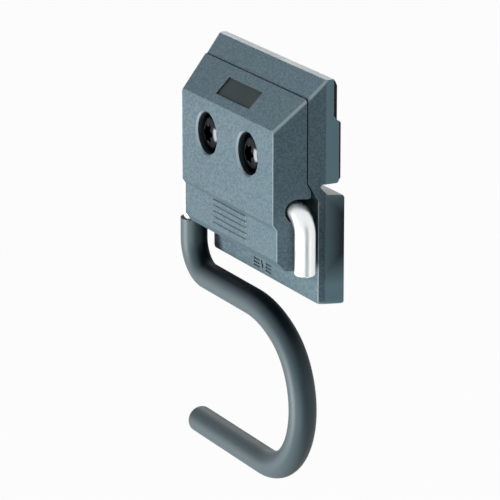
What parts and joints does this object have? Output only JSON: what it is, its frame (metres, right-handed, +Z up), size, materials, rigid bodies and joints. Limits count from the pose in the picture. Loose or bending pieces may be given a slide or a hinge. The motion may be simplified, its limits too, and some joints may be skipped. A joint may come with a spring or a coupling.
{
  "type": "broom holder",
  "caption": "Rail-mounted broom holder: a moulded base and a bevelled cover clamp a bent steel wire that ends in a plastic-coated open hook.",
  "frame": {"origin": "centre of the flat rear face of the flexing plate, which bears on the wall rail", "axes": "+X to the right as seen from the front, +Y to the wall, +Z up"},
  "size_m": [0.0754, 0.0204, 0.1217],
  "materials": {
    "housing_plastic": "blue-grey moulded plastic with a fine spark-eroded grain",
    "wire_steel": "bright zinc-plated wire",
    "coat_plastic": "satin dark grey plastic coat",
    "black_screw_steel": "glossy black finish on steel screws",
    "insert_brass": "turned brass",
    "pad_rubber": "black rubber"
  },
  "bodies": {
    "root": {"base_housing": "housing_plastic", "cover_housing": "housing_plastic", "hook_wire": "wire_steel", "hook_coat": "coat_plastic", "clamp_screws": "black_screw_steel", "threaded_inserts": "insert_brass", "upper_rear_pad": "pad_rubber", "middle_rear_pad": "pad_rubber"}
  },
  "joints": []
}
